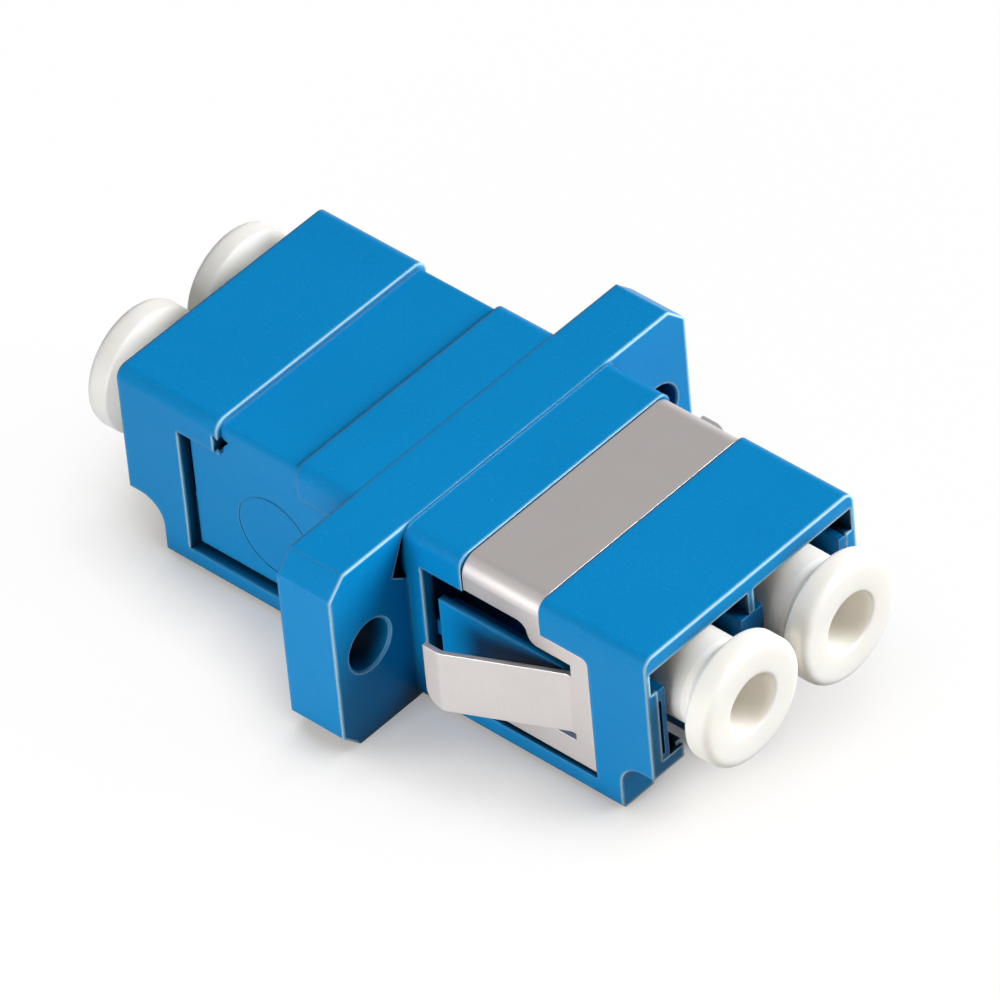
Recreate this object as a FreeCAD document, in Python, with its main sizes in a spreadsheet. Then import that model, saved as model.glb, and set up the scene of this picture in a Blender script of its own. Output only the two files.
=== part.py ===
"""LC duplex fibre adapter with a flanged housing, a steel panel clip and four dust caps.

Frame: millimetres, origin on the ground under the middle of the adapter.
+X runs out of the front ports, +Y across the two ports, +Z up. The flange stands on z = 0.
"""

import FreeCAD, Part
import os
import re

import Sketcher

DOC = FreeCAD.newDocument("LcAdapter")
SIZES = DOC.addObject("Spreadsheet::Sheet", "Sizes")

# Driving sizes in millimetres: alias, value, meaning.
TABLE = [
    # housing
    ("body_length", 30.0, "housing from mouth to mouth"),
    ("body_lift", 0.2, "housing underside above the foot of the flange"),
    ("base", 3.4, "housing below the port floor"),
    ("top_round", 0.55, "radius along the long top edges"),
    ("bottom_round", 0.2, "radius along the long bottom edges"),
    ("flange_width", 22.6, "flange from ear tip to ear tip"),
    ("flange_thickness", 3.0, "flange along the port axis"),
    ("flange_proud", 0.05, "flange above the housing top"),
    ("flange_corner", 0.95, "corner bevel of the ears"),
    ("screw_inset", 2.1, "screw hole centre from the ear tip"),
    ("screw_height", 4.85, "screw hole centre above the foot of the flange"),
    ("screw_hole", 2.5, "diameter of a screw hole"),
    ("screw_bevel", 0.08, "bevel on the rims of the screw holes"),
    ("notch_width", 0.85, "corner notch between ear and housing, across"),
    ("notch_low", 1.9, "outer corner of the notch below its tip"),
    ("notch_slope", 0.6, "inner corner of the notch below the outer one"),
    ("notch_drop", 0.3, "tip of the notch below the housing top"),
    ("notch_depth", 1.2, "depth of the notch"),
    # ports
    ("port_pitch", 6.25, "distance between the two ferrule axes"),
    ("port_width", 4.9, "plug opening across"),
    ("port_height", 5.2, "plug opening from floor to roof"),
    ("roof", 0.85, "wall above the ports"),
    ("tunnel_wall", 0.65, "side wall beside the inner frames"),
    ("rib_width", 0.36, "centre rib under the roof"),
    ("rib_height", 1.2, "centre rib below the roof"),
    ("mouth_wall", 0.25, "side wall at the roof corners of a mouth"),
    ("mouth_depth", 1.8, "length of the thinned roof corners"),
    ("scoop_length", 1.9, "finger scoop under each mouth, from the mouth inwards"),
    ("scoop_height", 2.72, "finger scoop above the housing underside"),
    ("scoop_round", 1.3, "inner upper corner of the finger scoop"),
    ("latch_width", 3.2, "latch slot in the port floor, across"),
    ("latch_length", 7.4, "latch slot from the mouth inwards"),
    ("guide_width", 0.3, "guide rib beside a latch slot"),
    ("guide_height", 0.3, "guide rib above the port floor"),
    ("guide_length", 3.4, "guide rib from the mouth inwards"),
    # inner frames
    ("frame_wall", 0.395, "side plate of an inner frame"),
    ("frame_clear", 0.03, "clearance of an inner frame in its tunnel"),
    ("bulkhead", 1.4, "plate that carries the barrels"),
    ("barrel", 3.0, "outside diameter of an alignment barrel"),
    ("barrel_lip", 1.13, "length of the lip that keeps the sleeve in"),
    ("lip_throat", 1.42, "narrow end of the funnel in the lip that keeps the sleeve in"),
    ("lip_mouth", 2.0, "wide end of that funnel, where a ferrule goes in"),
    ("mouth_slot", 0.15, "relief behind a side plate at the mouth"),
    ("mouth_slot_height", 3.0, "height of that relief"),
    ("mouth_slot_length", 5.0, "length of that relief"),
    ("gate_start", 0.2, "opening in a side plate in front of the bulkhead"),
    ("gate_step", 1.8, "deep part of that opening in front of the bulkhead"),
    ("gate_end", 9.5, "end of that opening in front of the bulkhead"),
    ("gate_low", 0.8, "deep part of that opening above the port floor"),
    ("gate_sill", 2.3, "shallow part of that opening above the port floor"),
    # alignment sleeves
    ("sleeve_bore", 1.25, "bore of a split sleeve, one ferrule"),
    ("sleeve_wall", 0.175, "wall of a split sleeve"),
    ("sleeve_length", 6.8, "length of a split sleeve"),
    ("sleeve_slit", 0.25, "slit of a split sleeve"),
    ("sleeve_clear", 0.07, "clearance round a sleeve in its barrel"),
    # panel clip
    ("clip_sheet", 0.25, "thickness of the clip"),
    ("clip_sink", 0.03, "clip surface below the housing surface"),
    ("clip_gap", 0.05, "gap between the clip and the edges of its seat"),
    ("band_start", 3.27, "clip band in front of the flange"),
    ("band_end", 5.96, "front edge of the clip band behind the mouth"),
    ("clip_bend", 0.6, "inside bend of the clip at the top edges"),
    ("band_drop", 1.65, "rear part of the band below the housing top"),
    ("neck_width", 0.75, "neck that joins the band to its leg frame"),
    ("leg_bar", 0.8, "upper bar of the leg frame"),
    ("leg_post", 1.0, "front post of the leg frame"),
    ("leg_foot", 1.25, "lower bar of the leg frame"),
    ("bar_round", 0.35, "outer corner of the leg frame"),
    ("neck_round", 0.55, "bends of the neck outline"),
    ("foot_length", 6.2, "lower bar from its free end to the post's front"),
    ("tongue_lift", 1.62, "spring tongue above the foot of the clip"),
    ("tongue_width", 3.3, "height of the spring tongue"),
    ("tongue_length", 6.25, "spring tongue along the housing"),
    ("tongue_flare", 2.35, "free end of the tongue out from the housing"),
    ("tongue_curl", 0.9, "length of the turned-in tip"),
    ("tongue_round", 0.9, "lower corner of the tip"),
    # windows and seats in the housing sides
    ("stile", 0.85, "housing side between a window and the flange"),
    ("end_block", 3.35, "housing side between a window and the mouth"),
    ("rail", 0.92, "housing side below a window"),
    ("brow", 1.77, "housing side above a window"),
    ("panel_drop", 1.63, "top of the front panel below the window's upper edge"),
    ("panel_gap", 0.6, "slot between the front panel and the stile"),
    ("panel_root", 0.65, "end of that panel's slots behind the end block"),
    ("slot_depth", 1.1, "depth of the slots round the front panel"),
    ("slot_width", 0.48, "slot round the rear panel"),
    ("foot_slot", 0.33, "slot under the front panel"),
    ("spare_start", 3.15, "rear clip seat behind the flange"),
    ("spare_end", 5.8, "rear clip seat in front of the rear mouth"),
    ("hook_hole", 0.65, "three-cornered hook hole at the rear seat, across"),
    ("hook_set", 0.3, "hook hole behind the rear edge of that seat"),
    ("hook_drop", 1.0, "hook hole from top to bottom"),
    ("hook_depth", 0.75, "hook hole depth"),
    ("mark_radius", 2.1, "ejector mark on the rear panel"),
    ("mark_inset", 5.05, "ejector mark centre from the end block"),
    ("mark_height", 3.28, "ejector mark centre above the window's lower edge"),
    ("mark_depth", 0.03, "depth of the ejector mark"),
    ("mark_line", 0.12, "width of the ejector mark ring"),
    # dust caps
    ("cap_neck", 4.16, "neck of a dust cap"),
    ("cap_gap", 0.2, "gap between the pull discs of two neighbours"),
    ("cap_groove", 3.8, "groove between neck and disc"),
    ("cap_groove_width", 0.2, "bottom of that groove"),
    ("cap_reach", 2.7, "front of the disc in front of the mouth"),
    ("cap_disc_start", 1.4, "back of the disc rim in front of the mouth"),
    ("cap_neck_end", 0.45, "end of the neck in front of the mouth"),
    ("cap_insert", 5.5, "plug of the cap inside the mouth"),
    ("cap_bore", 2.85, "grip bore in the disc"),
    ("cap_bore_depth", 3.4, "depth of the grip bore"),
    ("cap_back_bore", 2.9, "bore at the inner end"),
    ("cap_web", 0.8, "web between the two bores"),
    ("cap_edge", 0.45, "size of the two bevels that round the disc rim"),
    ("cap_bevel", 0.15, "bevels of the bore, the neck and the inner end"),
    ("cap_rib", 0.6, "width of a grip rib"),
    ("cap_fit", 0.05, "clearance of the grip ribs in the port"),
    ("cap_rib_inset", 0.6, "grip rib from the inner end of the cap"),
    ("cap_rib_length", 3.7, "length of a grip rib"),
]


def fill_sheet():
    """Write the driving sizes into the sheet, one row each."""
    for row, (alias, value, meaning) in enumerate(TABLE, start=1):
        SIZES.set("A%d" % row, alias)
        SIZES.set("B%d" % row, str(value))
        SIZES.set("C%d" % row, meaning)
        SIZES.setAlias("B%d" % row, alias)
    DOC.recompute()


ALIASES = {alias for alias, _, _ in TABLE}

# Shared places, each written once as an expression of the sheet.
DERIVED = {
    "half_body": "(port_pitch / 2 + port_width / 2 + frame_wall + frame_clear + tunnel_wall)",
    "half_tunnel": "(port_pitch / 2 + port_width / 2 + frame_wall + frame_clear)",
    "port_inner": "(port_pitch / 2 - port_width / 2)",
    "port_outer": "(port_pitch / 2 + port_width / 2)",
    "mouth": "(body_length / 2)",
    "floor": "(body_lift + base)",
    "axis_height": "(body_lift + base + port_height / 2)",
    "roof_under": "(body_lift + base + port_height)",
    "rib_under": "(body_lift + base + port_height - rib_height)",
    "top": "(body_lift + base + port_height + roof)",
    "screw_place": "(flange_width / 2 - screw_inset)",
    "barrel_end": "(sleeve_length / 2 + sleeve_clear + barrel_lip)",
    "sleeve_outer": "(sleeve_bore / 2 + sleeve_wall)",
    "window_start": "(flange_thickness / 2 + stile)",
    "window_end": "(body_length / 2 - end_block)",
    "window_low": "(body_lift + rail)",
    "window_high": "(body_lift + base + port_height + roof - brow)",
    "panel_start": "(flange_thickness / 2 + stile + panel_gap)",
    "panel_end": "(body_length / 2 - end_block - panel_root)",
    "panel_high": "(body_lift + base + port_height + roof - brow - panel_drop)",
    "clip_start": "(flange_thickness / 2 + band_start)",
    "clip_end": "(body_length / 2 - band_end)",
    "seat_start": "(flange_thickness / 2 + spare_start)",
    "seat_end": "(body_length / 2 - spare_end)",
    "seat_depth": "(clip_sheet + clip_sink)",
    "clip_face": "(port_pitch / 2 + port_width / 2 + frame_wall + frame_clear + tunnel_wall - clip_sink)",
    "clip_top": "(body_lift + base + port_height + roof - clip_sink)",
    "leg_low": "(body_lift + rail + foot_slot)",
    "bar_high": "(body_lift + base + port_height + roof - brow - clip_gap)",
    "post_start": "(body_length / 2 - end_block - leg_post)",
    "tongue_tip": "(body_length / 2 - end_block - leg_post - tongue_length)",
    "tongue_low": "(body_lift + rail + foot_slot + tongue_lift)",
    "cap_disc": "(port_pitch - cap_gap)",
}


def full(text):
    """Turn short words into sheet references: derived places first, then aliases."""
    text = re.sub(r"[a-z_]+", lambda m: DERIVED.get(m.group(0), m.group(0)), text)
    return re.sub(r"[a-z_]+", lambda m: "Sizes." + m.group(0) if m.group(0) in ALIASES else m.group(0), text)


def value(text):
    """Number that an expression of the sheet gives."""
    return float(SIZES.evalExpression(full(text)))


def bind(thing, **expressions):
    """Bind properties to expressions of the sheet; a double underscore stands for a dot."""
    for name, text in expressions.items():
        thing.setExpression(name.replace("__", "."), full(text))


# ---------------------------------------------------------------- sketch and feature helpers

def new_body(label):
    body = DOC.addObject("PartDesign::Body", label)
    body.Label = label
    return body


def new_sketch(body, role, name, offset="0"):
    """Sketch on one of the body's own origin planes, moved along that plane's normal."""
    plane = next(f for f in body.Origin.OriginFeatures if f.Role == role)
    sketch = body.newObject("Sketcher::SketchObject", name)
    sketch.AttachmentSupport = [(plane, "")]
    sketch.MapMode = "FlatFace"
    bind(sketch, AttachmentOffset__Base__z=offset)
    return sketch


def place_point(sketch, geometry, end, x_text, y_text):
    """Hold one point of a sketch at a place given by two expressions."""
    for kind, text in (("DistanceX", x_text), ("DistanceY", y_text)):
        index = sketch.addConstraint(Sketcher.Constraint(kind, -1, 1, geometry, end, value(text)))
        sketch.setExpression("Constraints[%d]" % index, full(text))


def draw_outline(sketch, corners):
    """Closed outline of straight edges; a corner is (x, y) or (x, y, radius), as expressions."""
    points = [FreeCAD.Vector(value(c[0]), value(c[1]), 0) for c in corners]
    radii = [value(c[2]) if len(c) == 3 else 0.0 for c in corners]
    count = len(points)
    leave, arrive, turns = [], [], []
    for i, point in enumerate(points):
        back = (points[i - 1] - point).normalize()
        ahead = (points[(i + 1) % count] - point).normalize()
        cut = radii[i] / max(1e-9, abs(pow((1 - back.dot(ahead)) / max(1e-9, 1 + back.dot(ahead)), 0.5)))
        arrive.append(point + back * cut)
        leave.append(point + ahead * cut)
        turns.append((point - points[i - 1]).cross(points[(i + 1) % count] - point).z > 0)
    lines = [sketch.addGeometry(Part.LineSegment(leave[i], arrive[(i + 1) % count]), False)
             for i in range(count)]
    for i, corner in enumerate(corners):
        before, after = lines[i - 1], lines[i]
        if radii[i] == 0.0:
            sketch.addConstraint(Sketcher.Constraint("Coincident", before, 2, after, 1))
            place_point(sketch, after, 1, corner[0], corner[1])
            continue
        middle = corner_arc_middle(points[i], arrive[i], leave[i], radii[i])
        arc = sketch.addGeometry(Part.Arc(arrive[i], middle, leave[i]), False)
        first, last = (1, 2) if turns[i] else (2, 1)
        sketch.addConstraint(Sketcher.Constraint("Tangent", before, 2, arc, first))
        sketch.addConstraint(Sketcher.Constraint("Tangent", after, 1, arc, last))
        index = sketch.addConstraint(Sketcher.Constraint("Radius", arc, radii[i]))
        sketch.setExpression("Constraints[%d]" % index, full(corner[2]))
        sharp = sketch.addGeometry(Part.Point(points[i]), True)
        place_point(sketch, sharp, 1, corner[0], corner[1])
        sketch.addConstraint(Sketcher.Constraint("PointOnObject", sharp, 1, before))
        sketch.addConstraint(Sketcher.Constraint("PointOnObject", sharp, 1, after))


def corner_arc_middle(sharp, start, end, radius):
    """Middle of the arc that rounds a sharp corner between two tangent points."""
    half = (start + end) * 0.5
    inward = half - sharp
    to_centre = (inward.Length ** 2 + (start - half).Length ** 2) / inward.Length
    return sharp + inward.normalize() * (to_centre - radius)


def draw_circle(sketch, x_text, y_text, diameter_text):
    centre = FreeCAD.Vector(value(x_text), value(y_text), 0)
    circle = sketch.addGeometry(Part.Circle(centre, FreeCAD.Vector(0, 0, 1), value(diameter_text) / 2), False)
    place_point(sketch, circle, 3, x_text, y_text)
    index = sketch.addConstraint(Sketcher.Constraint("Diameter", circle, value(diameter_text)))
    sketch.setExpression("Constraints[%d]" % index, full(diameter_text))


def draw_box(sketch, x_low, x_high, y_low, y_high):
    draw_outline(sketch, [(x_low, y_low), (x_high, y_low), (x_high, y_high), (x_low, y_high)])


def add_feature(body, kind, sketch, name, length, midplane=False, reverse=False):
    """Pad or Pocket of a sketch by a length expression, checked to change the volume."""
    before = body.Shape.Volume if body.Tip else 0.0
    feature = body.newObject("PartDesign::" + kind, name)
    feature.Profile = sketch
    bind(feature, Length=length)
    if midplane:
        feature.SideType = "Symmetric"
    feature.Reversed = reverse
    sketch.Visibility = False
    DOC.recompute()
    gain = body.Shape.Volume - before
    if gain * (1 if kind == "Pad" else -1) <= 0:
        raise RuntimeError("%s of %s changes nothing" % (name, body.Label))
    return feature


def mirror_across_width(body, features, name):
    """Repeat side features on the other long side of the body."""
    mirrored = body.newObject("PartDesign::Mirrored", name)
    mirrored.Originals = features
    plane = next(f for f in body.Origin.OriginFeatures if f.Role == "XZ_Plane")
    mirrored.MirrorPlane = (plane, [""])
    body.Tip = mirrored
    DOC.recompute()
    return mirrored


# ---------------------------------------------------------------- housing

def make_housing():
    """One moulding: outer walls and flange, port tunnel, latch slots, clip seats and windows."""
    body = new_body("housing")
    shell = new_sketch(body, "YZ_Plane", "ShellSection")
    draw_outline(shell, [
        ("-half_body", "body_lift", "bottom_round"), ("half_body", "body_lift", "bottom_round"),
        ("half_body", "top", "top_round"), ("-half_body", "top", "top_round")])
    add_feature(body, "Pad", shell, "Shell", "body_length", midplane=True)
    add_flange(body)
    add_tunnel(body)
    add_mouths(body)
    add_clip_seats(body)
    mirror_across_width(body, add_front_window(body) + add_rear_window(body), "OtherSide")
    add_guides(body)
    return body


def add_flange(body):
    ear, high = "flange_width / 2", "top + flange_proud"
    flange = new_sketch(body, "YZ_Plane", "FlangeSection")
    draw_outline(flange, [
        ("flange_corner - " + ear, "0"), (ear + " - flange_corner", "0"),
        (ear, "flange_corner"), (ear, high + " - flange_corner"),
        (ear + " - flange_corner", high), ("flange_corner - " + ear, high),
        ("-" + ear, high + " - flange_corner"), ("-" + ear, "flange_corner")])
    add_feature(body, "Pad", flange, "Flange", "flange_thickness", midplane=True)

    holes = new_sketch(body, "YZ_Plane", "ScrewHoleSketch")
    for side in ("-", ""):
        draw_circle(holes, side + "screw_place", "screw_height", "screw_hole")
    drilled = add_feature(body, "Pocket", holes, "ScrewHoles", "flange_thickness + 2", midplane=True)
    rims = ["Edge%d" % number for number, edge in enumerate(drilled.Shape.Edges, start=1)
            if isinstance(edge.Curve, Part.Circle) and abs(edge.Curve.Radius - value("screw_hole / 2")) < 1e-4]
    bevel = body.newObject("PartDesign::Chamfer", "ScrewHoleBevels")
    bevel.Base = (drilled, rims)
    bind(bevel, Size="screw_bevel")

    notches = new_sketch(body, "YZ_Plane", "NotchSketch", "flange_thickness / 2")
    tip, low = "top - notch_drop", "top - notch_drop - notch_low"
    for side in ("-", ""):
        inner = side + "half_body"
        outer = side + "(half_body + notch_width)"
        draw_outline(notches, [(inner, tip), (inner, low + " - notch_slope"), (outer, low)])
    add_feature(body, "Pocket", notches, "CornerNotches", "notch_depth")


def add_tunnel(body):
    """Through opening for both ports, split by a rib that hangs from the roof."""
    tunnel = new_sketch(body, "YZ_Plane", "TunnelSection")
    draw_outline(tunnel, [
        ("-half_tunnel", "floor"), ("half_tunnel", "floor"), ("half_tunnel", "roof_under"),
        ("rib_width / 2", "roof_under"), ("rib_width / 2", "rib_under"),
        ("-rib_width / 2", "rib_under"), ("-rib_width / 2", "roof_under"), ("-half_tunnel", "roof_under")])
    add_feature(body, "Pocket", tunnel, "Tunnel", "body_length + 2", midplane=True)


def add_mouths(body):
    """Thinned roof corners, finger scoops and latch slots at both ends."""
    for end, offset, reverse in (("Front", "mouth", False), ("Rear", "-mouth", True)):
        corners = new_sketch(body, "YZ_Plane", end + "CornerSketch", offset)
        for side in ("-", ""):
            inner, outer = side + "(half_tunnel - 0.5)", side + "(half_body - mouth_wall)"
            draw_box(corners, inner, outer, "rib_under", "roof_under")
        add_feature(body, "Pocket", corners, end + "RoofCorners", "mouth_depth", reverse=reverse)

    scoops = new_sketch(body, "XZ_Plane", "ScoopSketch")
    slots = new_sketch(body, "XY_Plane", "LatchSlotSketch", "floor + 0.5")
    for end in ("-", ""):
        inner, outer = end + "(mouth - scoop_length)", end + "(mouth + 1)"
        draw_outline(scoops, [
            (inner, "body_lift - 1"), (inner, "body_lift + scoop_height", "scoop_round"),
            (outer, "body_lift + scoop_height"), (outer, "body_lift - 1")])
        for side in ("-", ""):
            draw_box(slots, end + "(mouth - latch_length)", end + "(mouth + 1)",
                     side + "(port_pitch / 2 - latch_width / 2)", side + "(port_pitch / 2 + latch_width / 2)")
    add_feature(body, "Pocket", scoops, "Scoops", "2 * half_body + 2", midplane=True)
    add_feature(body, "Pocket", slots, "LatchSlots", "floor + 1")


def add_guides(body):
    """Low ribs on the port floor that steer the latch, one each side of every slot."""
    guides = new_sketch(body, "XY_Plane", "GuideSketch", "floor")
    for end in ("-", ""):
        for side in ("-", ""):
            for edge in ("-", "+"):
                near = side + "(port_pitch / 2 %s (latch_width / 2 + 0.04))" % edge
                far = side + "(port_pitch / 2 %s (latch_width / 2 + 0.04 + guide_width))" % edge
                draw_box(guides, end + "(mouth - guide_length)", end + "(mouth - 0.1)", near, far)
    add_feature(body, "Pad", guides, "LatchGuides", "guide_height")


def add_clip_seats(body):
    """Shallow bands across the top and down both sides, one for the clip and one spare."""
    face, high = "(half_body - seat_depth)", "top - seat_depth"
    for name, start, end, bend in (
            ("FrontSeat", "clip_start - clip_gap", "clip_end + clip_gap", "clip_bend + clip_gap"),
            ("RearSeat", "-seat_end", "-seat_start", "bottom_round")):
        seat = new_sketch(body, "YZ_Plane", name + "Sketch", end)
        draw_outline(seat, [
            ("-half_body - 1", "window_high"), ("-" + face, "window_high"),
            ("-" + face, high, bend), (face, high, bend), (face, "window_high"),
            ("half_body + 1", "window_high"), ("half_body + 1", "top + 1"), ("-half_body - 1", "top + 1")])
        add_feature(body, "Pocket", seat, name, "(%s) - (%s)" % (end, start))


def add_front_window(body):
    """Recess for the leg frame of the clip, with slots that free the panel behind the tongue."""
    window = new_sketch(body, "XZ_Plane", "FrontWindowSketch", "half_body")
    draw_outline(window, [
        ("window_start", "window_low"), ("window_end + clip_gap", "window_low"),
        ("window_end + clip_gap", "window_high", "bar_round + clip_gap"), ("window_start", "window_high")])
    recess = add_feature(body, "Pocket", window, "FrontWindow", "seat_depth")
    slots = new_sketch(body, "XZ_Plane", "FrontSlotSketch", "half_body")
    draw_outline(slots, [
        ("window_start", "window_low"), ("panel_end", "window_low"),
        ("panel_end", "window_low + foot_slot"), ("panel_start", "window_low + foot_slot"),
        ("panel_start", "panel_high"), ("panel_end", "panel_high"),
        ("panel_end", "window_high - clip_gap"), ("window_start", "window_high - clip_gap")])
    return [recess, add_feature(body, "Pocket", slots, "FrontSlots", "slot_depth")]


def add_rear_window(body):
    """The same recess on the bare half, with an L-shaped slot, a hook hole and an ejector mark."""
    window = new_sketch(body, "XZ_Plane", "RearWindowSketch", "half_body")
    draw_box(window, "-window_end", "-window_start", "window_low", "window_high")
    recess = add_feature(body, "Pocket", window, "RearWindow", "seat_depth")
    slot = new_sketch(body, "XZ_Plane", "RearSlotSketch", "half_body")
    draw_outline(slot, [
        ("-window_end", "window_low"), ("-window_start", "window_low"),
        ("-window_start", "window_low + slot_width"), ("slot_width - window_end", "window_low + slot_width"),
        ("slot_width - window_end", "window_high"), ("-window_end", "window_high")])
    hook, back = new_sketch(body, "XZ_Plane", "HookHoleSketch", "half_body"), "(-seat_end - hook_set)"
    draw_outline(hook, [
        (back, "window_high - 0.15"), ("hook_hole + " + back, "window_high + 2 * hook_drop / 3"),
        (back, "window_high + hook_drop")])
    mark = new_sketch(body, "XZ_Plane", "EjectorMarkSketch", "half_body")
    for radius in ("mark_radius", "(mark_radius - mark_line)"):
        draw_circle(mark, "mark_inset - window_end", "window_low + mark_height", "2 * " + radius)
    return [recess,
            add_feature(body, "Pocket", slot, "RearSlot", "tunnel_wall + frame_clear"),
            add_feature(body, "Pocket", hook, "HookHole", "hook_depth"),
            add_feature(body, "Pocket", mark, "EjectorMark", "seat_depth + mark_depth")]


# ---------------------------------------------------------------- inner frames and sleeves

def cut_funnel(body, name, centre):
    """Cone through the lip of one barrel: its throat against the sleeve, its mouth at the end."""
    cone = body.newObject("PartDesign::SubtractiveCone", name)
    cone.Placement.Rotation = FreeCAD.Rotation(FreeCAD.Vector(0, 1, 0), 90)
    bind(cone, Radius1="lip_throat / 2", Radius2="lip_mouth / 2", Height="barrel_lip",
         Placement__Base__x="sleeve_length / 2 + sleeve_clear", Placement__Base__y=centre, Placement__Base__z="axis_height")
    DOC.recompute()


def make_inner_frame(label, turned):
    """Bulkhead with two barrels, side plates and a centre plate; slides in from one mouth."""
    body = new_body(label)
    side, notch = "(half_tunnel - frame_clear)", "(rib_width / 2 + frame_clear)"
    crown, under_rib = "roof_under - frame_clear", "rib_under - frame_clear"
    plate = new_sketch(body, "YZ_Plane", label + "_BulkheadSection")
    draw_outline(plate, [
        ("-" + side, "floor"), (side, "floor"), (side, crown), (notch, crown), (notch, under_rib),
        ("-" + notch, under_rib), ("-" + notch, crown), ("-" + side, crown)])
    add_feature(body, "Pad", plate, label + "_Bulkhead", "bulkhead")

    walls = new_sketch(body, "YZ_Plane", label + "_WallSection", "bulkhead")
    draw_box(walls, "-port_inner", "port_inner", "floor", under_rib)
    for sign in ("-", ""):
        draw_box(walls, sign + "port_outer", sign + side, "floor", under_rib)
    add_feature(body, "Pad", walls, label + "_Walls", "mouth - bulkhead")

    barrels = new_sketch(body, "YZ_Plane", label + "_BarrelSketch", "bulkhead")
    bores = new_sketch(body, "YZ_Plane", label + "_SleeveBoreSketch", "sleeve_length / 2 + sleeve_clear")
    reliefs = new_sketch(body, "YZ_Plane", label + "_ReliefSketch", "mouth")
    for sign in ("-", ""):
        centre = sign + "port_pitch / 2"
        draw_circle(barrels, centre, "axis_height", "barrel")
        draw_circle(bores, centre, "axis_height", "2 * (sleeve_outer + sleeve_clear)")
        draw_box(reliefs, sign + "(%s - mouth_slot)" % side, sign + "half_body",
                 "axis_height - 0.75 - mouth_slot_height / 2", "axis_height - 0.75 + mouth_slot_height / 2")
    add_feature(body, "Pad", barrels, label + "_Barrels", "barrel_end - bulkhead")
    add_feature(body, "Pocket", bores, label + "_SleeveBores", "sleeve_length / 2 + sleeve_clear + 1")
    cut_funnel(body, label + "_LeftFunnel", "port_pitch / 2")
    cut_funnel(body, label + "_RightFunnel", "-port_pitch / 2")
    add_feature(body, "Pocket", reliefs, label + "_MouthReliefs", "mouth_slot_length")

    gate = new_sketch(body, "XZ_Plane", label + "_GateSketch", "half_tunnel")
    start, step, end = ("bulkhead + " + place for place in ("gate_start", "gate_step", "gate_end"))
    draw_outline(gate, [
        (start, "floor + gate_low"), (step, "floor + gate_low"), (step, "floor + gate_sill"),
        (end, "floor + gate_sill"), (end, "roof_under"), (start, "roof_under")])
    opening = add_feature(body, "Pocket", gate, label + "_Gate", "frame_clear + frame_wall + mouth_slot")
    mirror_across_width(body, [opening], label + "_GatePair")
    if turned:
        body.Placement = FreeCAD.Placement(FreeCAD.Vector(), FreeCAD.Rotation(FreeCAD.Vector(0, 0, 1), 180))
    return body


def make_sleeve(label, sign):
    """Zirconia tube with one lengthwise slit, lying in the barrels of both inner frames."""
    body = new_body(label)
    ring = new_sketch(body, "YZ_Plane", label + "_Section")
    centre = sign + "port_pitch / 2"
    draw_circle(ring, centre, "axis_height", "2 * sleeve_outer")
    draw_circle(ring, centre, "axis_height", "sleeve_bore")
    add_feature(body, "Pad", ring, label + "_Tube", "sleeve_length", midplane=True)
    slit = new_sketch(body, "YZ_Plane", label + "_SlitSketch")
    draw_box(slit, centre + " - sleeve_slit / 2", centre + " + sleeve_slit / 2",
             "axis_height", "axis_height + 2 * sleeve_outer")
    add_feature(body, "Pocket", slit, label + "_Slit", "sleeve_length + 1", midplane=True)
    return body


# ---------------------------------------------------------------- panel clip

def make_clip():
    """Sheet-steel clip: band over the top, a leg frame on each side and a sprung tongue in each."""
    body = new_body("panel_clip")
    inner = "(clip_face - clip_sheet)"
    strip = new_sketch(body, "YZ_Plane", "ClipSection", "clip_start")
    draw_outline(strip, [
        ("-clip_face", "leg_low"), ("-" + inner, "leg_low"),
        ("-" + inner, "clip_top - clip_sheet", "clip_bend"), (inner, "clip_top - clip_sheet", "clip_bend"),
        (inner, "leg_low"), ("clip_face", "leg_low"),
        ("clip_face", "clip_top", "clip_bend + clip_sheet"),
        ("-clip_face", "clip_top", "clip_bend + clip_sheet")])
    add_feature(body, "Pad", strip, "ClipStrip", "window_end - clip_start")

    front_cut = new_sketch(body, "XZ_Plane", "ClipFrontCutSketch")
    draw_outline(front_cut, [
        ("clip_end", "top + 1"), ("clip_end", "bar_high", "neck_round"),
        ("window_end", "bar_high", "bar_round"), ("window_end", "bar_high - 1"),
        ("window_end + 1", "bar_high - 1"), ("window_end + 1", "top + 1")])
    add_feature(body, "Pocket", front_cut, "ClipFrontCut", "2 * half_body + 2", midplane=True)

    opening = new_sketch(body, "XZ_Plane", "ClipOpeningSketch")
    bar_low, neck, foot = "bar_high - leg_bar", "clip_end - neck_width", "window_end - foot_length"
    draw_outline(opening, [
        ("clip_start - 1", "leg_low - 1"), (foot, "leg_low - 1"), (foot, "leg_low + leg_foot"),
        ("post_start", "leg_low + leg_foot"), ("post_start", bar_low), (neck, bar_low, "neck_round"),
        (neck, "top - band_drop", "neck_round"), ("clip_start - 1", "top - band_drop")])
    add_feature(body, "Pocket", opening, "ClipOpening", "2 * half_body + 2", midplane=True)

    mirror_across_width(body, add_tongue(body), "OtherTongue")
    return body


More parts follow.
